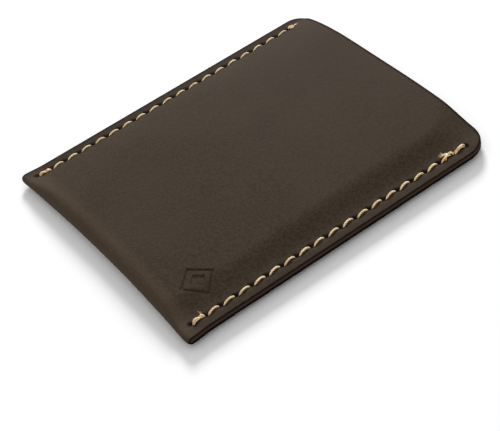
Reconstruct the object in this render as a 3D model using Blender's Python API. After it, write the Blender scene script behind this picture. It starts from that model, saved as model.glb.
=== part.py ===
"""Slim card wallet: one strip of leather folded over at one short end and lock-stitched along both long sides.

Frame: the origin is on the rest plane under the middle of the wallet, +X runs from the fold to the open mouth,
+Y across the wallet and +Z up out of its front face. Lengths are in metres.
"""

import math

import bmesh
import bpy

MM = 0.001

# Outline of the finished wallet
LENGTH = 91.5 * MM
WIDTH = 79.4 * MM
NEAR_MOUTH_CORNER_RADIUS = 7.5 * MM
FAR_MOUTH_CORNER_RADIUS = 6.0 * MM
FOLD_CORNER_RADIUS = 1.5 * MM
FOLD_HOLLOW = 0.9 * MM  # how far the fold line draws in at its middle
FOLD_SKEW = 1.2 * MM  # the fold's near corner stands back from its far corner

# Section across the wallet: two flat margins with the card pocket bulging between them
LEATHER = 0.9 * MM
MARGIN_LIFT = 1.1 * MM  # rest plane to the back face of the margins
LAYER_GAP = 0.1 * MM  # between the two layers in the margins
FRONT_BULGE = 3.2 * MM  # front face over the pocket, above the margins
POCKET_FLAT_HALF = 27.5 * MM  # the pocket's faces are flat out to here
POCKET_EDGE_HALF = 34.5 * MM  # the pocket's shoulders meet the margins here
FOLD_DEPTH_RATIO = 1.25  # the fold's depth over its half height

# Seams
STITCH_PITCH = 4.3 * MM
STITCH_COUNT = 19
NEAR_SEAM_START_X = -41.5 * MM
FAR_SEAM_START_X = -42.7 * MM
SEAM_HALF_SPACING = 36.3 * MM
HOLE_DIAMETER = 1.5 * MM
HOLE_SIDES = 8
THREAD_DIAMETER = 0.55 * MM
STRAND_OFFSET = 0.33 * MM  # the two strands in a hole stand this far from its middle
BACKTACK_OFFSET = 0.62 * MM  # the doubled strand lies this far beside the first and last stitch

# Finish: dark brown oiled leather, tan waxed thread
LEATHER_COLOUR = (0.058, 0.043, 0.033)
LEATHER_ROUGHNESS = 0.62
THREAD_COLOUR = (0.52, 0.37, 0.22)
THREAD_ROUGHNESS = 0.6

# Facets
FLAT_STEPS = 2
SHOULDER_STEPS = 6
CORNER_STEPS = 5
FOLD_STEPS = 10
SMOOTH_ANGLE = math.radians(35.0)

MARGIN_MIDDLE_Z = MARGIN_LIFT + LEATHER + LAYER_GAP / 2
MARGIN_HALF_THICKNESS = LEATHER + LAYER_GAP / 2


def clear_scene():
    for old in list(bpy.data.objects):
        bpy.data.objects.remove(old, do_unlink=True)


def finish_material(name, colour, roughness):
    material = bpy.data.materials.new(name)
    material.use_nodes = True
    shader = material.node_tree.nodes["Principled BSDF"]
    shader.inputs["Base Color"].default_value = (*colour, 1.0)
    shader.inputs["Roughness"].default_value = roughness
    shader.inputs["Metallic"].default_value = 0.0
    return material


# ---------------------------------------------------------------- leather body


def pocket_rise(y):
    """0 on the margins and 1 over the pocket, with a smooth shoulder between."""
    t = (POCKET_EDGE_HALF - abs(y)) / (POCKET_EDGE_HALF - POCKET_FLAT_HALF)
    t = min(max(t, 0.0), 1.0)
    return t * t * (3.0 - 2.0 * t)


def corner_setback(y, radius):
    """How far a rounded corner pulls the end of the outline back at this y."""
    into_corner = abs(y) - (WIDTH / 2 - radius)
    if into_corner <= 0.0:
        return 0.0
    return radius - math.sqrt(max(radius**2 - into_corner**2, 0.0))


def half_ellipse(centre_x, centre_z, depth, half_height):
    """Points from the top of the fold, round its far end, to the bottom."""
    points = []
    for step in range(FOLD_STEPS + 1):
        angle = math.pi / 2 + math.pi * step / FOLD_STEPS
        points.append((centre_x + depth * math.cos(angle), centre_z + half_height * math.sin(angle)))
    return points


def folded_section(y):
    """The closed U outline of the folded leather in the XZ plane at this y."""
    rise = pocket_rise(y)
    back_outer = MARGIN_LIFT * (1.0 - rise)
    back_inner = back_outer + LEATHER
    front_inner = MARGIN_LIFT + LEATHER + LAYER_GAP + FRONT_BULGE * rise
    front_outer = front_inner + LEATHER

    across = 2.0 * y / WIDTH
    mouth_radius = FAR_MOUTH_CORNER_RADIUS if y > 0.0 else NEAR_MOUTH_CORNER_RADIUS
    mouth_x = LENGTH / 2 - corner_setback(y, mouth_radius)
    fold_line = -LENGTH / 2 + FOLD_HOLLOW * (1.0 - across**2) + FOLD_SKEW * (1.0 - across) / 2
    fold_x = fold_line + corner_setback(y, FOLD_CORNER_RADIUS)

    outer_half = (front_outer - back_outer) / 2
    inner_half = (front_inner - back_inner) / 2
    depth = FOLD_DEPTH_RATIO * outer_half
    centre_x = fold_x + depth
    outer = half_ellipse(centre_x, back_outer + outer_half, depth, outer_half)
    inner = half_ellipse(centre_x, back_inner + inner_half, depth - LEATHER, inner_half)

    outline = [(mouth_x, front_outer), *outer, (mouth_x, back_outer)]
    outline += [(mouth_x, back_inner), *reversed(inner), (mouth_x, front_inner)]
    return [(x, y, z) for x, z in outline]


def section_stations():
    """The y of each section, closest together over the shoulders and round the corners."""
    half = [POCKET_FLAT_HALF * step / FLAT_STEPS for step in range(FLAT_STEPS)]
    shoulder = POCKET_EDGE_HALF - POCKET_FLAT_HALF
    half += [POCKET_FLAT_HALF + shoulder * step / SHOULDER_STEPS for step in range(SHOULDER_STEPS)]
    corner = WIDTH / 2 - POCKET_EDGE_HALF
    for step in range(CORNER_STEPS + 1):
        half.append(POCKET_EDGE_HALF + corner * math.sin(math.pi / 2 * step / CORNER_STEPS))
    return [-y for y in reversed(half[1:])] + half


def build_leather_mesh():
    """The folded strip: U sections side by side across the wallet, bridged and capped at both edges."""
    bm = bmesh.new()
    rings = [[bm.verts.new(point) for point in folded_section(y)] for y in section_stations()]
    count = len(rings[0])
    for ring, following in zip(rings, rings[1:]):
        for i in range(count):
            j = (i + 1) % count
            bm.faces.new((ring[i], ring[j], following[j], following[i]))
    bm.faces.new(rings[0])
    bm.faces.new(rings[-1])
    bmesh.ops.recalc_face_normals(bm, faces=bm.faces)
    mesh = bpy.data.meshes.new("leather_body")
    bm.to_mesh(mesh)
    bm.free()
    mesh.shade_smooth()
    mesh.set_sharp_from_angle(angle=SMOOTH_ANGLE)
    return mesh


def seam_holes(seam_side):
    """The x of every hole of the near (-1) or far (1) seam."""
    start = FAR_SEAM_START_X if seam_side > 0 else NEAR_SEAM_START_X
    return [start + STITCH_PITCH * index for index in range(STITCH_COUNT + 1)]


def add_hole_cutter():
    """All the awl holes of both seams, as one set of prisms through both layers."""
    bm = bmesh.new()
    for seam_side in (-1, 1):
        for hole_x in seam_holes(seam_side):
            made = bmesh.ops.create_cone(
                bm,
                cap_ends=True,
                segments=HOLE_SIDES,
                radius1=HOLE_DIAMETER / 2,
                radius2=HOLE_DIAMETER / 2,
                depth=MARGIN_HALF_THICKNESS * 3,
            )
            centre = (hole_x, seam_side * SEAM_HALF_SPACING, MARGIN_MIDDLE_Z)
            bmesh.ops.translate(bm, verts=made["verts"], vec=centre)
    mesh = bpy.data.meshes.new("stitch_hole_cutter")
    bm.to_mesh(mesh)
    bm.free()
    cutter = bpy.data.objects.new("stitch_hole_cutter", mesh)
    cutter.hide_render = True
    cutter.display_type = "WIRE"
    bpy.context.scene.collection.objects.link(cutter)
    return cutter


def add_leather_body():
    body = bpy.data.objects.new("leather_body", build_leather_mesh())
    bpy.context.scene.collection.objects.link(body)
    body.data.materials.append(finish_material("leather_body", LEATHER_COLOUR, LEATHER_ROUGHNESS))
    holes = body.modifiers.new("stitch_holes", "BOOLEAN")
    holes.operation = "DIFFERENCE"
    holes.solver = "EXACT"
    holes.object = add_hole_cutter()
    return body


# ---------------------------------------------------------------- seam threads
#
# A thread's route is worked out in its seam's own terms: along the seam, across it towards the pocket,
# and out from the middle of the two layers through the face that the thread lies on.

THREAD_RADIUS = THREAD_DIAMETER / 2
TURN_LEVEL = THREAD_RADIUS + 0.08 * MM  # the turn inside a hole, just short of the other thread's turn
TURN_HALF_WIDTH = 0.13 * MM
STRAND_LEVEL = TURN_LEVEL + 0.2 * MM  # from here out the two strands in a hole stand straight
RIM_LEVEL = MARGIN_HALF_THICKNESS + 0.05 * MM
LYING_LEVEL = MARGIN_HALF_THICKNESS + THREAD_RADIUS + 0.06 * MM
CROWN_LEVEL = LYING_LEVEL + 0.08 * MM
CROWN_REACH = 0.55 * MM  # a stitch has risen over the rim this far from its hole's middle
TAIL_END_GAP = 0.95 * MM  # the cut end of a tail stops this far short of the next hole
TAIL_DIVE = (0.25 * MM, 0.31 * MM)  # a tail's last point over the leather, past the hole and beside it


def stitch_points(start, end):
    """One stitch, up out of one hole, over the leather and down into the next."""
    return [
        (start + STRAND_OFFSET, 0.0, STRAND_LEVEL),
        (start + STRAND_OFFSET, 0.0, RIM_LEVEL),
        (start + CROWN_REACH, 0.0, CROWN_LEVEL),
        (end - CROWN_REACH, 0.0, CROWN_LEVEL),
        (end - STRAND_OFFSET, 0.0, RIM_LEVEL),
        (end - STRAND_OFFSET, 0.0, STRAND_LEVEL),
    ]


def turn_points(hole):
    """The turn at the inner end of a hole, where this thread meets the other one."""
    return [(hole - TURN_HALF_WIDTH, 0.0, TURN_LEVEL), (hole + TURN_HALF_WIDTH, 0.0, TURN_LEVEL)]


def tail_points(hole, next_hole):
    """The doubled end of a thread: from its cut end, back beside the end stitch, down into the end hole."""
    towards = math.copysign(1.0, next_hole - hole)
    past_hole, beside_hole = TAIL_DIVE
    return [
        (next_hole - towards * TAIL_END_GAP, BACKTACK_OFFSET, LYING_LEVEL),
        (hole + towards * STRAND_OFFSET, BACKTACK_OFFSET, LYING_LEVEL),
        (hole - towards * past_hole, beside_hole, LYING_LEVEL),
        (hole - towards * STRAND_OFFSET, 0.0, RIM_LEVEL),
        (hole - towards * STRAND_OFFSET, 0.0, STRAND_LEVEL),
    ]


def thread_route(seam_side):
    holes = seam_holes(seam_side)
    route = tail_points(holes[0], holes[1])
    for start, end in zip(holes, holes[1:]):
        route += turn_points(start)
        route += stitch_points(start, end)
    route += turn_points(holes[-1])
    route += reversed(tail_points(holes[-1], holes[-2]))
    return route


def add_thread(name, seam_side, face_side):
    """seam_side is -1 for the seam at -Y and 1 for +Y, face_side is 1 for the front face and -1 for the back."""
    route = thread_route(seam_side)
    curve = bpy.data.curves.new(name, "CURVE")
    curve.dimensions = "3D"
    curve.bevel_depth = THREAD_RADIUS
    curve.bevel_resolution = 1
    curve.use_fill_caps = True
    spline = curve.splines.new("POLY")
    spline.points.add(len(route) - 1)
    for point, (along, inwards, outwards) in zip(spline.points, route):
        y = seam_side * (SEAM_HALF_SPACING - inwards)
        point.co = (along, y, MARGIN_MIDDLE_Z + face_side * outwards, 1.0)
    curve.materials.append(finish_material(name, THREAD_COLOUR, THREAD_ROUGHNESS))
    thread = bpy.data.objects.new(name, curve)
    bpy.context.scene.collection.objects.link(thread)
    return thread


clear_scene()
add_leather_body()
for seam, seam_side in (("near_seam", -1), ("far_seam", 1)):
    add_thread(f"{seam}_needle_thread", seam_side, 1)
    add_thread(f"{seam}_bobbin_thread", seam_side, -1)
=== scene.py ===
import math

import bmesh
import bpy
import numpy as np
from mathutils import Matrix, Vector
from mathutils.geometry import delaunay_2d_cdt


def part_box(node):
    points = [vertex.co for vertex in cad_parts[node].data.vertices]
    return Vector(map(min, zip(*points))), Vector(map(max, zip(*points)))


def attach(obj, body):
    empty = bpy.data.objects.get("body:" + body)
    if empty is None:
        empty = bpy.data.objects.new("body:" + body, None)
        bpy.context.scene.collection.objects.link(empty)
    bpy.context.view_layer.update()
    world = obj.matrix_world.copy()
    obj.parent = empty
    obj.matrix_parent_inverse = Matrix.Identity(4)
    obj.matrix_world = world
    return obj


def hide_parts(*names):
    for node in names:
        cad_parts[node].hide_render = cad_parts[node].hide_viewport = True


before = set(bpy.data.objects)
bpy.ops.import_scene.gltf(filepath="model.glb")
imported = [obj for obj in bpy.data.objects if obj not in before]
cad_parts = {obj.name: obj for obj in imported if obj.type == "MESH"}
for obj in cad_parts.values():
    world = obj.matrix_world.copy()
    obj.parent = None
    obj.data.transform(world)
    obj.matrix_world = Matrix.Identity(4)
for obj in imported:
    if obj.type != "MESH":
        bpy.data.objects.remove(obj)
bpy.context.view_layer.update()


# ------------------------------------------------------------------------------------------------
# LEATHER BODY
# One strip of 0.9 mm waxed cowhide, cut with four round corners, creased across its middle and
# folded over. Both long sides are pricked for 19 stitches, then the cut edges are burnished dark.
# ------------------------------------------------------------------------------------------------

MM = 0.001  # sizes are in mm, and are multiplied by this where Blender needs metres

_, body_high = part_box("leather_body")
near_thread_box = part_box("near_seam_needle_thread")
far_thread_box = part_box("far_seam_needle_thread")

MOUTH_X = body_high.x / MM
FOLD_OVERSHOOT = 0.45
FOLD_X = -MOUTH_X - FOLD_OVERSHOOT  # the far end of the fold line, before its corner is softened
HALF_WIDTH = body_high.y / MM
LEATHER = 0.9
LAYER_GAP = 0.1
MARGIN_LIFT = 1.1  # the seams stand this far off the table
MARGIN_TOP = MARGIN_LIFT + 2 * LEATHER + LAYER_GAP
FOLD_HOLLOW = 1.15  # how far the fold line draws in at its middle
FOLD_SKEW = 1.35  # how far its near end lies in from its far end
FOLD_DEPTH_RATIO = 1.25  # the bend's depth, over half its height
NEAR_CORNER_RADIUS = 7.2
FAR_CORNER_RADIUS = 4.9

THREAD_DIAMETER = 0.55
PITCH = 4.3
STITCHES = 19
SEAM_LENGTH = PITCH * STITCHES
SEAM_Y = far_thread_box[1].y / MM - THREAD_DIAMETER / 2
NEAR_SEAM_X = (near_thread_box[0].x + near_thread_box[1].x) / 2 / MM - SEAM_LENGTH / 2
FAR_SEAM_X = (far_thread_box[0].x + far_thread_box[1].x) / 2 / MM - SEAM_LENGTH / 2

# The flat strip is laid out as (s, y): s runs from the back panel's mouth, through 0 at the fold,
# to the front panel's mouth. Each panel is straight beyond the fold allowance.
FOLD_ALLOWANCE = 5.0
PANEL_LENGTH = 89.4
HALF_LENGTH = FOLD_ALLOWANCE + PANEL_LENGTH

MARK_X, MARK_Y = -33.2, -27.4
MARK_HALF_DIAGONAL = 4.7

# each hole is a slanted slit, opened round at both ends by the thread and closed up between them
SLIT_HALF_ALONG, SLIT_HALF_ACROSS = 0.42, 0.20
SLIT_RADIUS = 0.24
SLIT_WAIST = 0.08
END_HOLE_SHIFT = 0.60
SLIT_END_STEPS = 6
EDGE_ROUNDING = 0.35
HOLE_ROUNDING = 0.15
MOUTH_FLESH_ROUNDING = 0.15
SEAM_FLESH_ROUNDING = 0.03
BESIDE_SEAM = 2.0  # the mouth's rounding ends this far in from a seam

# The slab's points: rings that follow each cut edge, and staggered rows between them. A spacing is
# along the strip, then across it.
SLIT_RINGS = (0.0, 0.06, 0.15, 0.4)
EDGE_RINGS = (0.0, 0.04, 0.12, 0.24, 0.4, 0.7)
EDGE_CLEARANCE, SLIT_CLEARANCE = 0.2, 0.15
OUTLINE_SPACING = 0.42
MARGIN_SPACING = (0.5, 0.5)
SHOULDER_SPACING = (0.85, 0.8)
PANEL_SPACING = (1.3, 1.2)
FOLD_SPACING = (0.45, 0.9)
MARK_SPACING = (0.15, 0.13)
MARGIN_FROM, SHOULDER_FROM = 34.2, 22.0
MARK_SURROUND, FOLD_SURROUND = 1.2, 1.0
MERGE_DISTANCE = 1e-5
HOLE_SLACK = 0.02


def strip_s(x, y, panel):
    """Where a point of the front (1) or back (-1) panel's margin lies along the flat strip."""
    off_middle = y / HALF_WIDTH
    fold_x = FOLD_X + FOLD_HOLLOW * (1.0 - off_middle**2) + FOLD_SKEW * (1.0 - off_middle) / 2
    fold_centre = fold_x + FOLD_DEPTH_RATIO * (MARGIN_TOP - MARGIN_LIFT) / 2
    stretch = (MOUTH_X - fold_centre) / PANEL_LENGTH
    return panel * (HALF_LENGTH - (MOUTH_X - x) / stretch)


def hole_centres():
    """Every hole in the flat strip. The end ones sit a little inwards, as only one stitch opens them."""
    along_seam = PITCH * np.arange(STITCHES + 1)
    along_seam[[0, -1]] += (END_HOLE_SHIFT, -END_HOLE_SHIFT)
    centres = []
    for panel in (1, -1):
        for along in along_seam:
            centres.append((strip_s(NEAR_SEAM_X + along, -SEAM_Y, panel), -SEAM_Y))
            centres.append((strip_s(FAR_SEAM_X + along, SEAM_Y, panel), SEAM_Y))
    return np.array(centres)


def outline_ring(inset, spacing):
    """Points round the strip's outline, moved in from its edge by inset."""
    bends = []
    for quarter, (side_s, side_y) in enumerate(((1, 1), (-1, 1), (-1, -1), (1, -1))):
        full_radius = FAR_CORNER_RADIUS if side_y > 0 else NEAR_CORNER_RADIUS
        corner_s, corner_y = HALF_LENGTH - full_radius, HALF_WIDTH - full_radius
        radius = full_radius - inset
        arc_steps = round(radius * math.pi / 2 / spacing)
        for step in range(arc_steps + 1):
            angle = (quarter + step / arc_steps) * math.pi / 2
            s = side_s * corner_s + radius * math.cos(angle)
            y = side_y * corner_y + radius * math.sin(angle)
            bends.append((s, y))
    ring = []
    for start, end in zip(bends, bends[1:] + bends[:1]):
        pieces = max(1, round(math.dist(start, end) / spacing))
        for piece in range(pieces):
            t = piece / pieces
            ring.append((start[0] + (end[0] - start[0]) * t, start[1] + (end[1] - start[1]) * t))
    return ring


def slit_ring(centre, inset):
    """Points round a slit, moved out from its edge by inset. The panel's side is the sign of centre's s."""
    side = math.copysign(1.0, centre[0])
    tilt = math.atan2(-SLIT_HALF_ACROSS * side, SLIT_HALF_ALONG * side)
    reach = math.hypot(SLIT_HALF_ALONG, SLIT_HALF_ACROSS)
    radius = SLIT_RADIUS + inset
    waist = SLIT_WAIST + inset
    ring = []
    for end in (0.0, math.pi):
        s = centre[0] + math.cos(tilt + end) * reach
        y = centre[1] + math.sin(tilt + end) * reach
        for step in range(SLIT_END_STEPS + 1):
            angle = tilt + end + (step / SLIT_END_STEPS - 0.5) * math.pi
            ring.append((s + radius * math.cos(angle), y + radius * math.sin(angle)))
        square = tilt + end + math.pi / 2
        ring.append((centre[0] + waist * math.cos(square), centre[1] + waist * math.sin(square)))
    return ring


def edge_distance(points):
    """Distance in from the outline, positive inside."""
    radius = np.where(points[:, 1] > 0, FAR_CORNER_RADIUS, NEAR_CORNER_RADIUS)
    q = np.abs(points) - (np.array([HALF_LENGTH, HALF_WIDTH]) - radius[:, None])
    outside = np.linalg.norm(np.maximum(q, 0.0), axis=1)
    return radius - outside - np.minimum(np.maximum(q[:, 0], q[:, 1]), 0.0)


def hole_distance(points):
    """Distance from the nearest slit's edge, positive on the leather."""
    nearest = np.full(len(points), np.inf)
    for centre in hole_centres():
        side = math.copysign(1.0, centre[0])
        reach = np.array([SLIT_HALF_ALONG * side, -SLIT_HALF_ACROSS])
        along = np.clip((points - centre) @ reach / (reach @ reach), -1.0, 1.0)
        opening = SLIT_WAIST + (SLIT_RADIUS - SLIT_WAIST) * np.abs(along)
        away = np.linalg.norm(points - centre - along[:, None] * reach, axis=1)
        nearest = np.minimum(nearest, away - opening)
    return nearest


def staggered_grid(s_range, y_range, s_step, y_step):
    """Points in rows, every second row moved along by half a step."""
    rows = np.arange(y_range[0], y_range[1], y_step)
    columns = np.arange(s_range[0], s_range[1], s_step)
    s, y = np.meshgrid(columns, rows)
    s[1::2] += s_step / 2
    return np.stack([s.ravel(), y.ravel()], axis=1)


def surface_points():
    """Points over the strip, closest at the seams, the fold and the mark."""
    span_s, span_y = (-HALF_LENGTH, HALF_LENGTH), (-HALF_WIDTH, HALF_WIDTH)
    mark_s = strip_s(MARK_X, MARK_Y, 1)
    mark_reach = MARK_HALF_DIAGONAL + MARK_SURROUND

    def near_mark(points):
        return np.maximum(np.abs(points[:, 0] - mark_s), np.abs(points[:, 1] - MARK_Y)) < mark_reach

    def in_fold(points):
        return np.abs(points[:, 0]) < FOLD_ALLOWANCE + FOLD_SURROUND

    margin = staggered_grid(span_s, span_y, *MARGIN_SPACING)
    margin = margin[(np.abs(margin[:, 1]) > MARGIN_FROM) & ~in_fold(margin)]
    shoulder = staggered_grid(span_s, span_y, *SHOULDER_SPACING)
    across = np.abs(shoulder[:, 1])
    on_shoulder = (across <= MARGIN_FROM) & (across > SHOULDER_FROM)
    shoulder = shoulder[on_shoulder & ~in_fold(shoulder) & ~near_mark(shoulder)]
    panel = staggered_grid(span_s, span_y, *PANEL_SPACING)
    panel = panel[(np.abs(panel[:, 1]) <= SHOULDER_FROM) & ~in_fold(panel) & ~near_mark(panel)]
    fold = staggered_grid(span_s, span_y, *FOLD_SPACING)
    fold = fold[in_fold(fold)]
    mark_span_s = (mark_s - mark_reach, mark_s + mark_reach)
    mark_span_y = (MARK_Y - mark_reach, MARK_Y + mark_reach)
    mark = staggered_grid(mark_span_s, mark_span_y, *MARK_SPACING)
    points = np.concatenate([margin, shoulder, panel, fold, mark])
    off_edge = edge_distance(points) > EDGE_RINGS[-1] + EDGE_CLEARANCE
    off_slits = hole_distance(points) > SLIT_RINGS[-1] + SLIT_CLEARANCE
    return points[off_edge & off_slits]


def cut_strip():
    """The strip's flat triangles, with its outline and holes as cut edges."""
    rings = [outline_ring(inset, OUTLINE_SPACING) for inset in EDGE_RINGS]
    for centre in hole_centres():
        rings += [slit_ring(centre, inset) for inset in SLIT_RINGS]
    cut_rings = [0] + list(range(len(EDGE_RINGS), len(rings), len(SLIT_RINGS)))
    points, cut_edges = [], []
    for index, ring in enumerate(rings):
        first = len(points)
        points += [Vector(point) for point in ring]
        if index in cut_rings:
            count = len(ring)
            cut_edges += [(first + i, first + (i + 1) % count) for i in range(count)]
    points += [Vector(point) for point in surface_points()]
    verts, _, faces, *_ = delaunay_2d_cdt(points, cut_edges, [], 1, MERGE_DISTANCE)
    flat = np.array([tuple(v) for v in verts])
    triangles = np.array([face for face in faces])
    middles = flat[triangles].mean(axis=1)
    return flat, triangles[hole_distance(middles) > -HOLE_SLACK]


def rounding_drop(distance, radius):
    """How far a rounded edge has fallen away at this distance in from the cut."""
    into = np.clip(radius - distance, 0.0, radius)
    return radius - np.sqrt(radius**2 - into**2)


def build_strip():
    """The flat strip as a closed slab: its z is 0 on the flesh side and LEATHER on the grain side."""
    flat, triangles = cut_strip()
    to_edge, to_hole = edge_distance(flat), hole_distance(flat)
    distance = np.minimum(to_edge, to_hole)
    at_mouth = np.abs(flat[:, 1]) < SEAM_Y - BESIDE_SEAM
    flesh_rounding = np.where(at_mouth, MOUTH_FLESH_ROUNDING, SEAM_FLESH_ROUNDING)
    grain = LEATHER - rounding_drop(to_edge, EDGE_ROUNDING) - rounding_drop(to_hole, HOLE_ROUNDING)
    flesh = rounding_drop(to_edge, flesh_rounding)

    count = len(flat)
    directed = np.concatenate([triangles[:, [0, 1]], triangles[:, [1, 2]], triangles[:, [2, 0]]])
    _, where, times = np.unique(np.sort(directed, axis=1), axis=0, return_index=True, return_counts=True)
    rim = directed[where[times == 1]]

    levels = (0.2, 0.5, 0.8)  # rows of points down the cut edge
    coords = [np.column_stack([flat, grain]), np.column_stack([flat, flesh])]
    rim_verts = np.unique(rim)
    place = {int(v): i for i, v in enumerate(rim_verts)}
    for level in levels:
        z = flesh[rim_verts] + (grain[rim_verts] - flesh[rim_verts]) * level
        coords.append(np.column_stack([flat[rim_verts], z]))
    columns = {}
    for v in rim_verts:
        middle = [2 * count + row * len(rim_verts) + place[int(v)] for row in range(len(levels))]
        columns[int(v)] = [count + int(v), *middle, int(v)]

    faces = triangles.tolist() + (triangles[:, ::-1] + count).tolist()
    for a, b in rim.tolist():
        for (low_a, high_a), (low_b, high_b) in zip(
            zip(columns[a], columns[a][1:]), zip(columns[b], columns[b][1:])
        ):
            faces.append((high_a, low_a, low_b, high_b))
    coords = np.concatenate(coords)
    mesh = bpy.data.meshes.new("leather_strip")
    mesh.from_pydata((coords * MM).tolist(), [], faces)
    mesh.validate()

    # how far in from a cut edge, and how deep through the leather: both are read by the finish
    inwards = np.concatenate([distance, distance, np.zeros(len(levels) * len(rim_verts))])
    for label, values in (("from_cut_edge", inwards), ("through", coords[:, 2] / LEATHER)):
        attribute = mesh.attributes.new(label, "FLOAT", "POINT")
        attribute.data.foreach_set("value", values.astype(np.float32))
    return mesh


class Number:
    """A socket of a node tree that can be written in ordinary arithmetic, each step a Math node."""

    def __init__(self, tree, socket):
        self.tree, self.socket = tree, socket

    def math(self, operation, *others):
        node = self.tree.nodes.new("ShaderNodeMath")
        node.operation = operation
        for entry, value in zip(node.inputs, (self, *others)):
            if isinstance(value, Number):
                self.tree.links.new(value.socket, entry)
            else:
                entry.default_value = value
        return Number(self.tree, node.outputs[0])

    def __add__(self, other):
        return self.math("ADD", other)

    def __sub__(self, other):
        return self.math("SUBTRACT", other)

    def __mul__(self, other):
        return self.math("MULTIPLY", other)

    def __truediv__(self, other):
        return self.math("DIVIDE", other)

    def __radd__(self, other):
        return self.math("ADD", other)

    def __rmul__(self, other):
        return self.math("MULTIPLY", other)

    def __rsub__(self, other):
        return self.math("MULTIPLY", -1.0).math("ADD", other)

    def __abs__(self):
        return self.math("ABSOLUTE")

    def ramp(self, start, end):
        """0 at start and 1 at end, smooth between."""
        node = self.tree.nodes.new("ShaderNodeMapRange")
        node.interpolation_type = "SMOOTHSTEP"
        self.tree.links.new(self.socket, node.inputs["Value"])
        for name, value in (("From Min", start), ("From Max", end)):
            if isinstance(value, Number):
                self.tree.links.new(value.socket, node.inputs[name])
            else:
                node.inputs[name].default_value = value
        return Number(self.tree, node.outputs["Result"])

    def over(self, span):
        """0 at the start of a span in mm and 1 at its end, smooth between."""
        return self.ramp(span[0] * MM, span[1] * MM)

    def bell(self, width):
        """1 at 0, falling off on both sides over this width."""
        scaled = self / width
        return (scaled * scaled * -1.0).math("EXPONENT")


def new_tree(name, inputs):
    """A Geometry Nodes tree with named inputs, and its group input's sockets by name."""
    tree = bpy.data.node_groups.new(name, "GeometryNodeTree")
    tree.interface.new_socket("Geometry", in_out="OUTPUT", socket_type="NodeSocketGeometry")
    tree.interface.new_socket("Geometry", in_out="INPUT", socket_type="NodeSocketGeometry")
    for label, kind in inputs.items():
        tree.interface.new_socket(label, in_out="INPUT", socket_type="NodeSocket" + kind)
    group_in = tree.nodes.new("NodeGroupInput")
    group_out = tree.nodes.new("NodeGroupOutput")
    sockets = {label: group_in.outputs[label] for label in inputs}
    return tree, group_in.outputs["Geometry"], sockets, group_out.inputs["Geometry"]


def evaluate_tree(tree, source_mesh, name, values):
    """The plain mesh that the tree makes from source_mesh with these input values."""
    carrier = bpy.data.objects.new(name, source_mesh)
    bpy.context.scene.collection.objects.link(carrier)
    modifier = carrier.modifiers.new(tree.name, "NODES")
    modifier.node_group = tree
    for item in tree.interface.items_tree:
        if item.item_type == "SOCKET" and item.in_out == "INPUT" and item.name in values:
            modifier[item.identifier] = values[item.name]
    graph = bpy.context.evaluated_depsgraph_get()
    mesh = bpy.data.meshes.new_from_object(
        carrier.evaluated_get(graph), preserve_all_data_layers=True, depsgraph=graph
    )
    bpy.data.objects.remove(carrier)
    mesh.name = name
    return mesh


# The pocket's rise. The shoulder climbs from its outer to its inner line, measured across from the
# middle, and both lines move in at the mouth. The crown is a gentler rise over the whole width.
FRONT_BULGE = 2.85
SHOULDER_OUTER, SHOULDER_INNER = 35.1, 27.4
SHOULDER_OUTER_SHIFT, SHOULDER_INNER_SHIFT = 1.1, 7.4
SHOULDER_SHARE, CROWN_SHARE = 0.62, 0.38
NEAR_CROWN_REACH, FAR_CROWN_REACH = 34.7, 37.0
NEAR_CROWN_POWER, FAR_CROWN_POWER = 2.0, 4.0
FULLNESS_AT_FOLD, FULLNESS_GAINED = 0.80, 0.20

# the spans, in mm, over which one shape passes into the next
FAR_SIDE_SPAN = (-6.0, 8.0)
MOUTH_SPAN = (36.0, 46.0)
FULLNESS_SPAN = (-38.0, 15.0)
BACK_LIFT_SPAN = (34.6, 25.0)
WAVE_SPAN = (36.0, 26.0)
PRESSED_SPAN = (34.4, 35.6)
SPREAD_FOLD_SPAN, SPREAD_SIDE_SPAN = (6.5, 0.8), (34.0, 39.5)
SEAM_START_SPAN, SEAM_END_SPAN = (-0.3, 0.8), (0.3, -0.8)

WAVE_SCALE, WAVE_HEIGHT = 32.0, 0.55
PRESSED_GAP = 0.045
CORNER_REACH, CORNER_DROP = 1.6, 0.55
SPREAD = 0.42

# how deep and how wide the leather sinks: under the thread, at its holes and on both sides
BED_DEPTH, BED_WIDTH = 0.13, 0.62
PIT_DEPTH, PIT_WIDTH, PIT_LENGTH = 0.20, 0.7, 0.75
PULL_DEPTH, PULL_WIDTH = 0.10, 2.2

MARK_DEPTH = 0.28
MARK_FLOOR_DEPTH = 0.05
MARK_OUTLINE_PLACE, MARK_CORE_PLACE = 0.93, 0.45  # as shares of the mark's half diagonal
MARK_LINE_SPAN = (0.52, 0.22)
MARK_CORE_SOFTNESS = 0.16
MARK_FLOOR_OUTER, MARK_FLOOR_INNER = 0.6, 0.3


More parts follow.
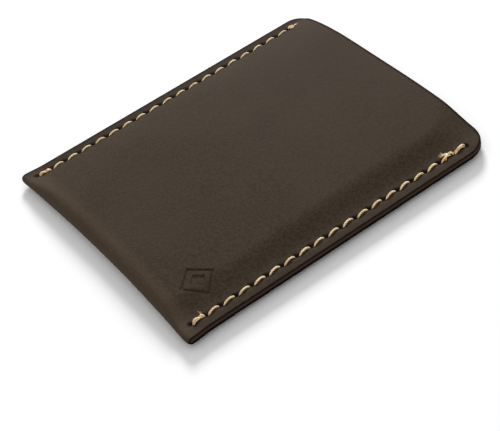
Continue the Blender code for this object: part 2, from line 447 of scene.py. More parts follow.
def fold_tree():
    """Bends the slab into the folded body, and works in the pocket's shape, the stitch pull and the mark."""
    inputs = (
        "Mouth X", "Fold X", "Fold hollow", "Fold skew", "Fold allowance", "Fold depth ratio",
        "Half length", "Half width", "Leather", "Margin lift", "Margin top", "Front bulge",
        "Seam Y", "Pitch", "Near seam X", "Far seam X", "Seam length",
        "Mark X", "Mark Y", "Mark size", "Mark depth",
    )
    kinds = {name: "Float" for name in inputs} | {"Finish": "Material"}
    tree, geometry, sockets, out = new_tree("Fold the strip", kinds)
    v = {name: Number(tree, sockets[name]) for name in inputs}

    position = tree.nodes.new("GeometryNodeInputPosition")
    split = tree.nodes.new("ShaderNodeSeparateXYZ")
    tree.links.new(position.outputs["Position"], split.inputs["Vector"])
    s, y, w = (Number(tree, split.outputs[axis]) for axis in "XYZ")

    along = abs(s)
    across = abs(y)
    panel = s.math("SIGN")
    through = w / v["Leather"]
    on_panel = (along - v["Fold allowance"]).math("MAXIMUM", 0.0)
    turn = (along / v["Fold allowance"]).math("MINIMUM", 1.0) * (math.pi / 2)
    flat_x = v["Mouth X"] - (v["Half length"] - along)

    def crown(reach, power):
        """A rise over the whole width: 1 in the middle and 0 at reach."""
        return (1.0 - (across / (reach * MM)).math("POWER", power)).math("MAXIMUM", 0.0)

    # The pocket stands up as if it held cards: steep just inside the near seam, except at the mouth,
    # and gentler at the far one.
    front = s.over((0.0, 1.0))
    far_side = y.over(FAR_SIDE_SPAN)
    at_mouth = flat_x.over(MOUTH_SPAN)
    shoulder_outer = SHOULDER_OUTER - SHOULDER_OUTER_SHIFT * at_mouth
    shoulder_inner = SHOULDER_INNER - SHOULDER_INNER_SHIFT * at_mouth
    shoulder = across.over((shoulder_outer, shoulder_inner))
    near_rise = shoulder * SHOULDER_SHARE + crown(NEAR_CROWN_REACH, NEAR_CROWN_POWER) * CROWN_SHARE
    far_rise = crown(FAR_CROWN_REACH, FAR_CROWN_POWER)
    rise = near_rise + (far_rise - near_rise) * far_side
    fullness = FULLNESS_AT_FOLD + FULLNESS_GAINED * flat_x.over(FULLNESS_SPAN)
    bulge = v["Front bulge"] * rise * fullness
    front_top = v["Margin top"] + bulge
    back_bottom = v["Margin lift"] * (1.0 - across.over(BACK_LIFT_SPAN))

    # Slow waves in the hide.
    noise = tree.nodes.new("ShaderNodeTexNoise")
    noise.inputs["Scale"].default_value = WAVE_SCALE
    noise.inputs["Detail"].default_value = 1.0
    tree.links.new(position.outputs["Position"], noise.inputs["Vector"])
    wave = (Number(tree, noise.outputs["Fac"]) - 0.5) * (WAVE_HEIGHT * MM) * across.over(WAVE_SPAN)
    wave = wave.math("MAXIMUM", front * (-1.0 * MM))  # the back can't go down through the table

    middle_z = (front_top + back_bottom) / 2.0
    outer_half = (front_top - back_bottom) / 2.0
    pressed = v["Leather"] + (PRESSED_GAP * MM) * across.over(PRESSED_SPAN)
    inner_half = outer_half - pressed
    outer_depth = outer_half * v["Fold depth ratio"]
    inner_depth = outer_depth - pressed
    half = inner_half + (outer_half - inner_half) * through
    depth = inner_depth + (outer_depth - inner_depth) * through

    # The fold line draws in at its middle and runs a little askew, and its corners are softened.
    off_middle = y / v["Half width"]
    corner_start = v["Half width"] - CORNER_REACH * MM
    into_corner = ((across - corner_start) / (CORNER_REACH * MM)).math("MAXIMUM", 0.0)
    corner = into_corner * into_corner * (CORNER_DROP * MM)
    hollow = v["Fold hollow"] * (1.0 - off_middle * off_middle)
    fold_x = v["Fold X"] + hollow + v["Fold skew"] * (1.0 - off_middle) / 2.0 + corner
    fold_centre = fold_x + outer_depth
    stretch = (v["Mouth X"] - fold_centre) / (v["Half length"] - v["Fold allowance"])
    x = fold_centre - depth * turn.math("COSINE") + on_panel * stretch
    z = middle_z + panel * half * turn.math("SINE")

    # Squeezed by the fold, the leather spreads sideways at both ends of it.
    near_fold = (x - fold_x).over(SPREAD_FOLD_SPAN)
    spread = y.math("SIGN") * near_fold * across.over(SPREAD_SIDE_SPAN) * (SPREAD * MM)

    # Each stitch beds into the leather, deepest at its two holes.
    grain_side = through.ramp(0.55, 1.0) * panel
    beside_seam = across - v["Seam Y"]
    from_first = x - (v["Near seam X"] + (v["Far seam X"] - v["Near seam X"]) * far_side)
    from_last = from_first - v["Seam length"]
    on_seam = from_first.over(SEAM_START_SPAN) * from_last.over(SEAM_END_SPAN)
    to_hole = (from_first / v["Pitch"] + 0.5).math("FLOORED_MODULO", 1.0) - 0.5
    to_hole = to_hole * v["Pitch"]
    bed = beside_seam.bell(BED_WIDTH * MM) * (BED_DEPTH * MM)
    pit = beside_seam.bell(PIT_WIDTH * MM) * to_hole.bell(PIT_LENGTH * MM) * (PIT_DEPTH * MM)
    pull = beside_seam.bell(PULL_WIDTH * MM) * (PULL_DEPTH * MM)
    sunk = (bed + pit + pull) * on_seam

    # A small pressed mark: a diamond outline round a solid diamond.
    diamond = abs(x - v["Mark X"]) + abs(y - v["Mark Y"])
    pressed_line = abs(diamond - v["Mark size"] * MARK_OUTLINE_PLACE).over(MARK_LINE_SPAN)
    core_edge = v["Mark size"] * MARK_CORE_PLACE
    pressed_core = diamond.ramp(core_edge + MARK_CORE_SOFTNESS * MM, core_edge - MARK_CORE_SOFTNESS * MM)
    floor_outer = v["Mark size"] + MARK_FLOOR_OUTER * MM
    inside = diamond.ramp(floor_outer, v["Mark size"] - MARK_FLOOR_INNER * MM)
    pressed_mark = pressed_line.math("MAXIMUM", pressed_core) * v["Mark depth"]
    mark = (pressed_mark + inside * (MARK_FLOOR_DEPTH * MM)) * front

    z = z + wave - (sunk + mark) * grain_side

    joined = tree.nodes.new("ShaderNodeCombineXYZ")
    for axis, value in zip("XYZ", (x, y + spread, z)):
        tree.links.new(value.socket, joined.inputs[axis])
    place = tree.nodes.new("GeometryNodeSetPosition")
    tree.links.new(geometry, place.inputs["Geometry"])
    tree.links.new(joined.outputs["Vector"], place.inputs["Position"])
    made = tree.nodes.new("GeometryNodeRealizeInstances")
    tree.links.new(place.outputs["Geometry"], made.inputs["Geometry"])
    finish = tree.nodes.new("GeometryNodeSetMaterial")
    tree.links.new(made.outputs["Geometry"], finish.inputs["Geometry"])
    tree.links.new(sockets["Finish"], finish.inputs["Material"])
    tree.links.new(finish.outputs["Geometry"], out)
    return tree


def mix_colour(tree, factor, first, second):
    """first where factor is 0 and second where it is 1; each is a colour or a colour socket."""
    node = tree.nodes.new("ShaderNodeMix")
    node.data_type = "RGBA"
    tree.links.new(factor.socket, node.inputs["Factor"])
    entries = [entry for entry in node.inputs if entry.type == "RGBA"]
    for entry, colour in zip(entries, (first, second)):
        if isinstance(colour, tuple):
            entry.default_value = (*colour, 1.0)
        else:
            tree.links.new(colour, entry)
    return next(output for output in node.outputs if output.type == "RGBA")


def speckle(tree, coordinates, scale, detail):
    """Soft noise from 0 to 1; scale is in patches to the metre."""
    node = tree.nodes.new("ShaderNodeTexNoise")
    node.inputs["Scale"].default_value = scale
    node.inputs["Detail"].default_value = detail
    tree.links.new(coordinates, node.inputs["Vector"])
    return Number(tree, node.outputs["Fac"])


def named_value(tree, name):
    """A value that the mesh carries under this name."""
    node = tree.nodes.new("ShaderNodeAttribute")
    node.attribute_name = name
    return Number(tree, node.outputs["Fac"])


WAX_DARK, WAX_LIGHT = (0.0332, 0.0226, 0.0142), (0.0388, 0.0266, 0.0170)
WAX_FLECK = (0.0640, 0.0462, 0.0322)
SCUFFED = (0.085, 0.064, 0.046)
HANDLED = (0.0060, 0.0034, 0.0018)
BENT = (0.0900, 0.0640, 0.0430)
FLESH_DARK, FLESH_LIGHT = (0.050, 0.032, 0.020), (0.105, 0.070, 0.045)
EDGE_SIDE, EDGE_CORNER = (0.044, 0.0270, 0.0205), (0.0110, 0.0060, 0.0045)
# near-black painted shade for the low part of the cut edges, next to the table
EDGE_PAINTED_SHADE = (0.0030, 0.0016, 0.0012)

HANDLED_SPAN = (36.4, 38.4)  # across, outside the seams
BENT_SPAN = (-38.5, -43.0)  # along, towards the fold
NEAR_EDGE_SPAN = (-37.5, -34.0)  # the stain is narrower along the near edge
PAINTED_SHADE_SPAN = (2.30, 1.85)  # height on the cut edges over which the painted shade near the table sets in

CLOUD_SCALE, FLECK_SCALE, FIBRE_SCALE, RAGGED_SCALE = 70.0, 1500.0, 1500.0, 900.0
SCUFF_ANGLE, SCUFF_STRETCH = 0.5, (60.0, 900.0, 300.0)
PEBBLE_SCALE, PORE_SCALE, CREASE_SCALE = 1500.0, 3600.0, 420.0
LEATHER_ROUGHNESS = 0.68
LEATHER_SPECULAR = 0.04
GRAIN_DEPTH, GRAIN_STRENGTH = 0.11, 0.70


def leather_finish():
    """Oiled and waxed grain side, brushed flesh side and burnished cut edges, with painted shade on the cut
    edges low down by the table.
    """
    material = bpy.data.materials.new("waxed_brown_leather")
    material.use_nodes = True
    tree = material.node_tree
    shader = tree.nodes["Principled BSDF"]
    coordinates = tree.nodes.new("ShaderNodeTexCoord").outputs["Object"]

    # Wax sinks in unevenly: broad clouds, small flecks, and paler scuffs where the leather is rubbed.
    clouds = speckle(tree, coordinates, CLOUD_SCALE, 3.0).ramp(0.30, 0.72)
    flecks = speckle(tree, coordinates, FLECK_SCALE, 3.0).ramp(0.34, 0.66)
    colour = mix_colour(tree, clouds, WAX_DARK, WAX_LIGHT)
    colour = mix_colour(tree, flecks * 0.62, colour, WAX_FLECK)
    stretch = tree.nodes.new("ShaderNodeMapping")
    stretch.inputs["Rotation"].default_value = (0.0, 0.0, SCUFF_ANGLE)
    stretch.inputs["Scale"].default_value = SCUFF_STRETCH
    tree.links.new(coordinates, stretch.inputs["Vector"])
    scuffs = speckle(tree, stretch.outputs["Vector"], 1.0, 3.0).ramp(0.66, 0.80)
    colour = mix_colour(tree, scuffs * 0.22, colour, SCUFFED)

    # Outside the seams the edge dye and the handling have darkened it.
    split = tree.nodes.new("ShaderNodeSeparateXYZ")
    tree.links.new(coordinates, split.inputs["Vector"])
    x, y, z = (Number(tree, split.outputs[axis]) for axis in "XYZ")
    colour = mix_colour(tree, abs(y).over(HANDLED_SPAN) * 0.17, colour, HANDLED)

    # The bend pulls the wax about, so the fold is paler.
    colour = mix_colour(tree, x.over(BENT_SPAN) * 0.40, colour, BENT)

    # The flesh side is paler and fibrous.
    through = named_value(tree, "through")
    fibres = speckle(tree, coordinates, FIBRE_SCALE, 5.0)
    flesh = mix_colour(tree, fibres.ramp(0.3, 0.7), FLESH_DARK, FLESH_LIGHT)
    from_edge = named_value(tree, "from_cut_edge")
    colour = mix_colour(tree, through.ramp(0.16, 0.02) * from_edge.ramp(0.05, 0.30), colour, flesh)

    # Cut edges are rubbed dark, darkest where they turn over, and the dye creeps in. Low down, near the
    # table, painted shade makes them near-black.
    ragged = from_edge + (speckle(tree, coordinates, RAGGED_SCALE, 3.0) - 0.5) * 0.5
    stain_width = 1.0 + 0.55 * y.over(NEAR_EDGE_SPAN)
    stained = (ragged / stain_width).ramp(0.72, 0.20)
    rim = mix_colour(tree, through.ramp(0.66, 0.90), EDGE_SIDE, EDGE_CORNER)
    # painted shade: below this height the cut edges go near-black, as if shaded by the table
    rim = mix_colour(tree, z.over(PAINTED_SHADE_SPAN), rim, EDGE_PAINTED_SHADE)
    colour = mix_colour(tree, stained, colour, rim)
    tree.links.new(colour, shader.inputs["Base Color"])

    roughness = LEATHER_ROUGHNESS + 0.12 * flecks + 0.12 * stained
    tree.links.new(roughness.socket, shader.inputs["Roughness"])
    shader.inputs["Specular IOR Level"].default_value = LEATHER_SPECULAR

    # Fine pebbled grain with pores, flattened where the edge is burnished.
    pebble = tree.nodes.new("ShaderNodeTexVoronoi")
    pebble.feature = "SMOOTH_F1"
    pebble.inputs["Scale"].default_value = PEBBLE_SCALE
    pebble.inputs["Smoothness"].default_value = 0.6
    tree.links.new(coordinates, pebble.inputs["Vector"])
    pores = speckle(tree, coordinates, PORE_SCALE, 2.0)
    creases = speckle(tree, coordinates, CREASE_SCALE, 4.0)
    height = Number(tree, pebble.outputs["Distance"]) * -0.35 + pores * 0.35 + creases * 0.5
    bump = tree.nodes.new("ShaderNodeBump")
    bump.inputs["Distance"].default_value = GRAIN_DEPTH * MM
    bump.inputs["Strength"].default_value = GRAIN_STRENGTH
    tree.links.new((height * (1.0 - 0.6 * stained)).socket, bump.inputs["Height"])
    tree.links.new(bump.outputs["Normal"], shader.inputs["Normal"])
    return material


leather_material = leather_finish()
leather_sizes = {
    "Mouth X": MOUTH_X, "Fold X": FOLD_X, "Fold hollow": FOLD_HOLLOW, "Fold skew": FOLD_SKEW,
    "Fold allowance": FOLD_ALLOWANCE, "Half length": HALF_LENGTH, "Half width": HALF_WIDTH,
    "Leather": LEATHER, "Margin lift": MARGIN_LIFT, "Margin top": MARGIN_TOP, "Front bulge": FRONT_BULGE,
    "Seam Y": SEAM_Y, "Pitch": PITCH, "Near seam X": NEAR_SEAM_X, "Far seam X": FAR_SEAM_X,
    "Seam length": SEAM_LENGTH, "Mark X": MARK_X, "Mark Y": MARK_Y, "Mark size": MARK_HALF_DIAGONAL,
    "Mark depth": MARK_DEPTH,
}
leather_values = {name: size * MM for name, size in leather_sizes.items()}
leather_values |= {"Fold depth ratio": FOLD_DEPTH_RATIO, "Finish": leather_material}
leather_mesh = evaluate_tree(fold_tree(), build_strip(), "folded_leather", leather_values)
leather_mesh.shade_smooth()
leather = bpy.data.objects.new("folded_leather", leather_mesh)
bpy.context.scene.collection.objects.link(leather)
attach(leather, "root")
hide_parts("leather_body")


# ------------------------------------------------------------------------------------------------
# SEAM THREADS
# Each seam is a lockstitch of two tan waxed threads, three plies twisted: one on the front, one on
# the back. The first and last stitch are doubled, and the cut ends are singed so they can't run.
# ------------------------------------------------------------------------------------------------

STITCH_BED = 0.22  # how far the leather's face is pulled down along the seam
PLIES = 3
PLY_RADIUS, PLY_OFFSET = 0.175, 0.105
PLY_SIDES = 7
SWELL_LENGTH = 0.25  # as a share of the strand, as are the next two
SINGE_START, SINGE_END = 0.45, 0.90
ROLL_UNEVENNESS, SIZE_UNEVENNESS = 2.0, 1.5


def strand_tree():
    """A row of twisted strands, each on one curve that comes up out of the leather and goes down again."""
    floats = (
        "Pitch", "Ply radius", "Ply offset", "Turns", "Flatten", "Taper", "Swell", "Swell start", "Singe",
        "Face turn", "Unevenness",
    )
    inputs = {name: "Float" for name in floats}
    inputs |= {name: "Vector" for name in ("First place", "Start", "Start handle", "End handle", "End")}
    inputs |= {"Count": "Int", "Plies": "Int", "Segments": "Int", "Seed": "Int", "Finish": "Material"}
    tree, _, sockets, out = new_tree("Row of twisted strands", inputs)
    nodes, links = tree.nodes, tree.links

    path = nodes.new("GeometryNodeCurvePrimitiveBezierSegment")
    links.new(sockets["Segments"], path.inputs["Resolution"])
    for name in ("Start", "Start handle", "End handle", "End"):
        links.new(sockets[name], path.inputs[name.title()])

    # The strand is pressed down where it lies on the leather, and stays upright in its holes.
    position = nodes.new("GeometryNodeInputPosition")
    split = nodes.new("ShaderNodeSeparateXYZ")
    links.new(position.outputs["Position"], split.inputs["Vector"])
    lying = Number(tree, split.outputs["Z"])
    above = lying.math("MAXIMUM", 0.0) * Number(tree, sockets["Flatten"]) + lying.math("MINIMUM", 0.0)
    joined = nodes.new("ShaderNodeCombineXYZ")
    links.new(split.outputs["X"], joined.inputs["X"])
    links.new(split.outputs["Y"], joined.inputs["Y"])
    links.new(above.socket, joined.inputs["Z"])
    to_points = nodes.new("GeometryNodeResampleCurve")
    links.new(path.outputs["Curve"], to_points.inputs["Curve"])
    links.new(sockets["Segments"], to_points.inputs["Count"])
    press = nodes.new("GeometryNodeSetPosition")
    links.new(to_points.outputs["Curve"], press.inputs["Geometry"])
    links.new(joined.outputs["Vector"], press.inputs["Position"])

    way = nodes.new("GeometryNodeSplineParameter")
    along = Number(tree, way.outputs["Factor"])
    twist = nodes.new("GeometryNodeSetCurveTilt")
    links.new(press.outputs["Geometry"], twist.inputs["Curve"])
    links.new((along * Number(tree, sockets["Turns"]) * (2 * math.pi)).socket, twist.inputs["Tilt"])
    thickness = nodes.new("GeometryNodeSetCurveRadius")
    links.new(twist.outputs["Curve"], thickness.inputs["Curve"])
    swell_start = Number(tree, sockets["Swell start"])
    swell = 1.0 + along.ramp(swell_start, swell_start + SWELL_LENGTH) * Number(tree, sockets["Swell"])
    links.new((swell - along * Number(tree, sockets["Taper"])).socket, thickness.inputs["Radius"])
    singe = nodes.new("GeometryNodeStoreNamedAttribute")
    singe.domain = "POINT"
    singe.inputs["Name"].default_value = "singed"
    links.new(thickness.outputs["Curve"], singe.inputs["Geometry"])
    singed = along.ramp(SINGE_START, SINGE_END) * Number(tree, sockets["Singe"])
    links.new(singed.socket, singe.inputs["Value"])

    # The plies' outline is a few small circles round the strand's middle.
    ring = nodes.new("GeometryNodeMeshCircle")
    links.new(sockets["Plies"], ring.inputs["Vertices"])
    links.new(sockets["Ply offset"], ring.inputs["Radius"])
    ply = nodes.new("GeometryNodeCurvePrimitiveCircle")
    ply.inputs["Resolution"].default_value = PLY_SIDES
    links.new(sockets["Ply radius"], ply.inputs["Radius"])
    outline = nodes.new("GeometryNodeInstanceOnPoints")
    links.new(ring.outputs["Mesh"], outline.inputs["Points"])
    links.new(ply.outputs["Curve"], outline.inputs["Instance"])
    outline_curves = nodes.new("GeometryNodeRealizeInstances")
    links.new(outline.outputs["Instances"], outline_curves.inputs["Geometry"])
    strand = nodes.new("GeometryNodeCurveToMesh")
    strand.inputs["Fill Caps"].default_value = True
    links.new(singe.outputs["Geometry"], strand.inputs["Curve"])
    links.new(outline_curves.outputs["Geometry"], strand.inputs["Profile Curve"])

    step = nodes.new("ShaderNodeCombineXYZ")
    links.new(sockets["Pitch"], step.inputs["X"])
    row = nodes.new("GeometryNodeMeshLine")
    links.new(sockets["Count"], row.inputs["Count"])
    links.new(sockets["First place"], row.inputs["Start Location"])
    links.new(step.outputs["Vector"], row.inputs["Offset"])
    chance = nodes.new("FunctionNodeRandomValue")
    chance.data_type = "FLOAT_VECTOR"
    chance.inputs[0].default_value = (-1.0, -1.0, -1.0)
    chance.inputs[1].default_value = (1.0, 1.0, 1.0)
    links.new(sockets["Seed"], chance.inputs["Seed"])
    lean = nodes.new("ShaderNodeSeparateXYZ")
    links.new(chance.outputs[0], lean.inputs["Vector"])
    unevenness = Number(tree, sockets["Unevenness"])
    turn = nodes.new("ShaderNodeCombineXYZ")
    roll = Number(tree, lean.outputs["X"]) * unevenness * ROLL_UNEVENNESS
    roll = roll + Number(tree, sockets["Face turn"])
    links.new(roll.socket, turn.inputs["X"])
    links.new((Number(tree, lean.outputs["Z"]) * unevenness).socket, turn.inputs["Z"])
    size = nodes.new("ShaderNodeCombineXYZ")
    size.inputs["X"].default_value = 1.0
    for axis in "YZ":
        scale = 1.0 + Number(tree, lean.outputs["Y"]) * unevenness * SIZE_UNEVENNESS
        links.new(scale.socket, size.inputs[axis])
    stand = nodes.new("GeometryNodeInstanceOnPoints")
    links.new(row.outputs["Mesh"], stand.inputs["Points"])
    links.new(strand.outputs["Mesh"], stand.inputs["Instance"])
    links.new(turn.outputs["Vector"], stand.inputs["Rotation"])
    links.new(size.outputs["Vector"], stand.inputs["Scale"])
    made = nodes.new("GeometryNodeRealizeInstances")
    links.new(stand.outputs["Instances"], made.inputs["Geometry"])
    finish = nodes.new("GeometryNodeSetMaterial")
    links.new(made.outputs["Geometry"], finish.inputs["Geometry"])
    links.new(sockets["Finish"], finish.inputs["Material"])
    links.new(finish.outputs["Geometry"], out)
    return tree


THREAD_DARK, THREAD_LIGHT = (0.80, 0.55, 0.26), (1.00, 0.80, 0.48)
THREAD_SINGED = (0.56, 0.22, 0.08)
THREAD_ROUGHNESS, THREAD_SPECULAR = 0.4, 0.55
PATCH_SCALE, THREAD_FIBRE_SCALE = 600.0, 9000.0
FIBRE_DEPTH, FIBRE_STRENGTH = 0.03, 0.5


def thread_finish():
    """Tan waxed thread: each ply a little uneven in colour, browner where the cut end was singed."""
    material = bpy.data.materials.new("tan_waxed_thread")
    material.use_nodes = True
    tree = material.node_tree
    shader = tree.nodes["Principled BSDF"]
    coordinates = tree.nodes.new("ShaderNodeTexCoord").outputs["Object"]
    patches = speckle(tree, coordinates, PATCH_SCALE, 2.0).ramp(0.30, 0.70)
    colour = mix_colour(tree, patches, THREAD_DARK, THREAD_LIGHT)
    colour = mix_colour(tree, named_value(tree, "singed"), colour, THREAD_SINGED)
    tree.links.new(colour, shader.inputs["Base Color"])
    shader.inputs["Roughness"].default_value = THREAD_ROUGHNESS
    shader.inputs["Specular IOR Level"].default_value = THREAD_SPECULAR
    fibres = tree.nodes.new("ShaderNodeBump")
    fibres.inputs["Distance"].default_value = FIBRE_DEPTH * MM
    fibres.inputs["Strength"].default_value = FIBRE_STRENGTH
    tree.links.new(speckle(tree, coordinates, THREAD_FIBRE_SCALE, 2.0).socket, fibres.inputs["Height"])
    tree.links.new(fibres.outputs["Normal"], shader.inputs["Normal"])
    return material


thread_material = thread_finish()
strands = strand_tree()
seed_mesh = bpy.data.meshes.new("strand_seed")


def strand_row(name, x, y, face, curve, count=1, **changes):
    """A row of strands on the front (1) or back (-1) face. curve is its four points, from the first hole."""
    top = MARGIN_TOP - STITCH_BED if face > 0 else MARGIN_LIFT + STITCH_BED
    values = {
        "First place": Vector((x, y, top)) * MM,
        "Count": count, "Pitch": PITCH * MM, "Plies": PLIES, "Segments": 34, "Seed": 4,
        "Ply radius": PLY_RADIUS * MM, "Ply offset": PLY_OFFSET * MM, "Turns": 2.6, "Flatten": 0.75,
        "Singe": 0.0, "Taper": 0.0, "Swell": 0.0, "Swell start": 0.7, "Unevenness": 0.03,
        "Face turn": 0.0 if face > 0 else math.pi, "Finish": thread_material,
    }
    for label, point in zip(("Start", "Start handle", "End handle", "End"), curve):
        values[label] = Vector(point) * MM
    values.update(changes)
    return evaluate_tree(strands, seed_mesh, name, values)


# Every curve below is in mm from a hole. STITCH runs along the seam, then towards the far side, then
# up out of the leather; on the back it is turned over.
STITCH = ((0.55, -0.26, -0.9), (0.40, -0.34, 1.15), (3.60, 0.42, 1.05), (3.78, 0.24, -0.9))
# The strands at a seam's ends run towards its other holes, then in towards the pocket, then up.
DOUBLED = ((3.95, 0.30, -0.6), (3.10, 0.75, 1.15), (0.10, 0.55, 1.70), (0.35, 0.20, -0.7))
KNOB = ((2.70, 0.15, 0.30), (2.00, 0.20, 1.00), (0.78, 0.05, 1.95), (0.84, -0.12, -0.6))
TAIL = ((4.00, 0.30, -0.6), (3.90, 0.40, 0.90), (3.50, 0.85, 0.90), (3.10, 1.10, 0.38))

FINE = {"Ply radius": 0.045 * MM, "Ply offset": 0.02 * MM, "Segments": 12, "Turns": 1.0, "Singe": 0.9}
SINGED = {"Segments": 18, "Turns": 1.0, "Swell": 0.45, "Singe": 1.0}
MELTED = dict(SINGED, Singe=0.8)
TAIL_STEM = {"Segments": 18, "Turns": 1.2, "Singe": 0.5}
TAIL_FORK = dict(SINGED, Swell=0.1, Singe=0.9)


def end_strands(name, hole_x, seam_y, face, towards, strands_here):
    """The strands that lie over one end of a seam."""
    outwards = math.copysign(1.0, seam_y) * face
    made = []
    for curve, changes in strands_here:
        turned = [(towards * along, -outwards * inwards, up) for along, inwards, up in curve]
        made.append(strand_row(name, hole_x, seam_y, face, turned, **changes))
    return made


# the near seam's fold end: a fat doubled stitch with a short singed spike
NEAR_FOLD_END = [
    (KNOB, {"Swell": 0.75, "Swell start": 0.35, "Turns": 1.8}),
    (((3.9, 0.3, -0.3), (3.6, 0.4, 0.8), (3.2, 0.5, 0.7), (2.6, 0.45, 0.30)), dict(SINGED, Swell=0.0)),
    (((3.5, 0.3, 0.2), (3.4, 0.6, 0.6), (3.45, 1.1, 0.9), (3.3, 1.7, 1.1)), FINE),
    (((3.3, 0.4, 0.3), (3.6, 0.8, 0.5), (3.7, 1.0, 0.7), (3.75, 1.35, 0.9)), FINE),
]
# its mouth end: the last stitch twisted round its double, and a tail parted into a Y
NEAR_MOUTH_END = [
    (((0.45, 0.15, -0.7), (0.2, 0.85, 1.4), (3.0, -0.55, 1.5), (3.9, 0.35, -0.6)), {"Singe": 0.7}),
    (((4.1, 0.1, -0.6), (4.3, 0.2, 0.9), (4.9, 0.35, 0.9), (5.7, 0.45, 0.35)), TAIL_STEM),
    (((5.3, 0.4, 0.35), (5.9, 0.75, 0.7), (6.6, 0.95, 0.6), (7.4, 0.85, 0.35)), TAIL_FORK),
    (((5.3, 0.4, 0.35), (6.1, 0.3, 0.8), (6.7, -0.3, 0.7), (7.1, -0.75, 0.30)), TAIL_FORK),
    (((6.3, 0.8, 0.5), (6.8, 1.2, 0.9), (7.1, 1.3, 0.9), (7.5, 1.5, 0.8)), FINE),
    (((6.5, 0.8, 0.5), (7.0, 0.8, 0.9), (7.4, 0.9, 0.9), (7.9, 1.0, 0.7)), FINE),
    (((6.2, 0.9, 0.5), (6.4, 1.3, 0.8), (6.6, 1.5, 0.8), (6.6, 1.9, 0.7)), FINE),
]
# the far seam's fold end: a fat doubled stitch and two melted knobs
FAR_FOLD_END = [
    (KNOB, {"Swell": 0.65, "Swell start": 0.35, "Singe": 0.5, "Turns": 1.8}),
    (((4.1, 0.2, -0.5), (3.9, 0.3, 1.0), (3.2, 0.35, 1.0), (2.3, 0.45, 0.55)), dict(MELTED, Swell=0.9)),
    (((3.9, -0.2, -0.5), (3.7, -0.2, 0.9), (3.1, -0.1, 0.9), (2.5, 0.0, 0.50)), dict(MELTED, Swell=0.7)),
]
# its mouth end: the cut ends run on past the last hole, singed and frayed
FAR_MOUTH_END = [
    (((-0.1, 0.0, -0.6), (-0.3, 0.1, 0.9), (-0.9, 0.45, 1.0), (-2.6, 0.10, 0.45)), dict(SINGED, Swell=-0.2)),
    (((-0.1, 0.2, -0.6), (-0.2, 0.6, 0.9), (-0.9, 0.85, 0.9), (-1.9, 0.65, 0.35)), dict(SINGED, Singe=0.9)),
    (((-0.1, -0.2, -0.6), (-0.2, -0.4, 0.9), (-0.8, -0.35, 0.9), (-1.7, -0.2, 0.35)), MELTED),
    (((-1.6, 0.3, 0.4), (-2.2, 0.3, 0.7), (-2.7, 0.1, 0.7), (-3.3, -0.1, 0.6)), FINE),
    (((-1.4, 0.1, 0.4), (-2.0, -0.1, 0.7), (-2.4, -0.2, 0.7), (-3.0, -0.4, 0.5)), FINE),
]
PLAIN_END = [(DOUBLED, {"Singe": 0.1}), (TAIL, SINGED)]


def add_thread(name, node, first_x, seam_y, face, fold_end, mouth_end):
    """One seam's thread on the front (1) or back (-1) face, joined into one piece."""
    seed = 7 + int(seam_y > 0) + 2 * face
    meshes = [strand_row(name, first_x, seam_y, face, STITCH, STITCHES, Taper=0.18, Seed=seed)]
    meshes += end_strands(name, first_x, seam_y, face, 1.0, fold_end)
    meshes += end_strands(name, first_x + SEAM_LENGTH, seam_y, face, -1.0, mouth_end)
    bm = bmesh.new()
    for mesh in meshes:
        bm.from_mesh(mesh)
    whole = bpy.data.meshes.new(name)
    bm.to_mesh(whole)
    bm.free()
    whole.materials.append(thread_material)
    whole.shade_smooth()
    thread = bpy.data.objects.new(name, whole)
    bpy.context.scene.collection.objects.link(thread)
    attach(thread, "root")
    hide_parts(node)


for seam, first_x, seam_y, fold_end, mouth_end in (
    ("near_seam", NEAR_SEAM_X, -SEAM_Y, NEAR_FOLD_END, NEAR_MOUTH_END),
    ("far_seam", FAR_SEAM_X, SEAM_Y, FAR_FOLD_END, FAR_MOUTH_END),
):
    add_thread(f"{seam}_front_stitches", f"{seam}_needle_thread", first_x, seam_y, 1, fold_end, mouth_end)
    add_thread(f"{seam}_back_stitches", f"{seam}_bobbin_thread", first_x, seam_y, -1, PLAIN_END, PLAIN_END)


# ------------------------------------------------------------------------------------------------
# TABLE, LIGHT AND CAMERA
# A plain pale table, even light all round with one low softbox beyond the far mouth corner, and the
# camera looking down over the fold's near corner.
# ------------------------------------------------------------------------------------------------

TABLE_SIZE = 8.0  # metres, as are the softbox's sizes
TABLE_COLOUR = (0.9, 0.9, 0.9, 1)
TABLE_ROUGHNESS = 0.9
STUDIO_STRENGTH = 0.70

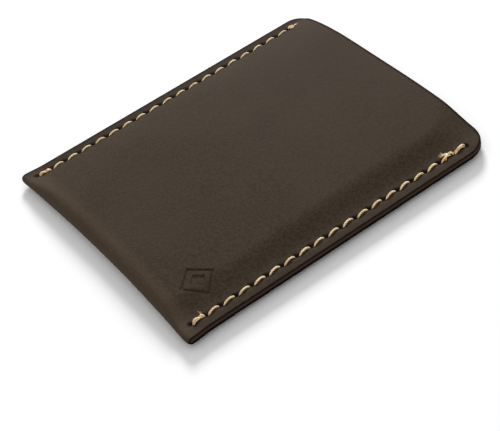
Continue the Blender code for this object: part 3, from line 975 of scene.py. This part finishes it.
bpy.ops.mesh.primitive_plane_add(size=TABLE_SIZE, location=(0.0, 0.0, 0.0))
table = bpy.context.object
table.name = "table_top"
table_material = bpy.data.materials.new("pale_table")
table_material.use_nodes = True
table_shader = table_material.node_tree.nodes["Principled BSDF"]
table_shader.inputs["Base Color"].default_value = TABLE_COLOUR
table_shader.inputs["Roughness"].default_value = TABLE_ROUGHNESS
table.data.materials.append(table_material)

world = bpy.data.worlds.new("studio")
bpy.context.scene.world = world
world.use_nodes = True
background = world.node_tree.nodes["Background"]
background.inputs["Color"].default_value = (1, 1, 1, 1)
background.inputs["Strength"].default_value = STUDIO_STRENGTH

SOFTBOX_DIRECTION = Vector((0.54, 0.82, 0.46)).normalized()
SOFTBOX_DISTANCE, SOFTBOX_SIZE = 1.6, 0.42
SOFTBOX_WATTS = 28.0

light = bpy.data.lights.new("key_softbox", "AREA")
light.size = SOFTBOX_SIZE
light.energy = SOFTBOX_WATTS
softbox = bpy.data.objects.new("key_softbox", light)
softbox.location = SOFTBOX_DIRECTION * SOFTBOX_DISTANCE
softbox.rotation_euler = SOFTBOX_DIRECTION.to_track_quat("Z", "Y").to_euler()
bpy.context.scene.collection.objects.link(softbox)

CAMERA_AIM = Vector((-11.54, -17.20, 3.0)) * MM
CAMERA_DISTANCE = 329.5 * MM
CAMERA_AZIMUTH, CAMERA_ELEVATION, CAMERA_ROLL = map(math.radians, (-24.385, 42.429, -15.334))
CAMERA_LENS, SENSOR_WIDTH = 98.93, 36.0

sin_a, cos_a = math.sin(CAMERA_AZIMUTH), math.cos(CAMERA_AZIMUTH)
sin_e, cos_e = math.sin(CAMERA_ELEVATION), math.cos(CAMERA_ELEVATION)
back = Vector((sin_a * cos_e, -cos_a * cos_e, sin_e))
level_right = Vector((cos_a, sin_a, 0.0))
level_up = back.cross(level_right)
right = level_right * math.cos(CAMERA_ROLL) + level_up * math.sin(CAMERA_ROLL)
up = back.cross(right)
camera = bpy.data.objects.new("camera", bpy.data.cameras.new("camera"))
camera.data.lens = CAMERA_LENS
camera.data.sensor_width = SENSOR_WIDTH
camera.data.clip_start = 0.01
camera_turn = Matrix((right, up, back)).transposed().to_4x4()
camera.matrix_world = Matrix.Translation(CAMERA_AIM + back * CAMERA_DISTANCE) @ camera_turn
bpy.context.scene.collection.objects.link(camera)
bpy.context.scene.camera = camera
bpy.context.scene.view_settings.view_transform = "Standard"
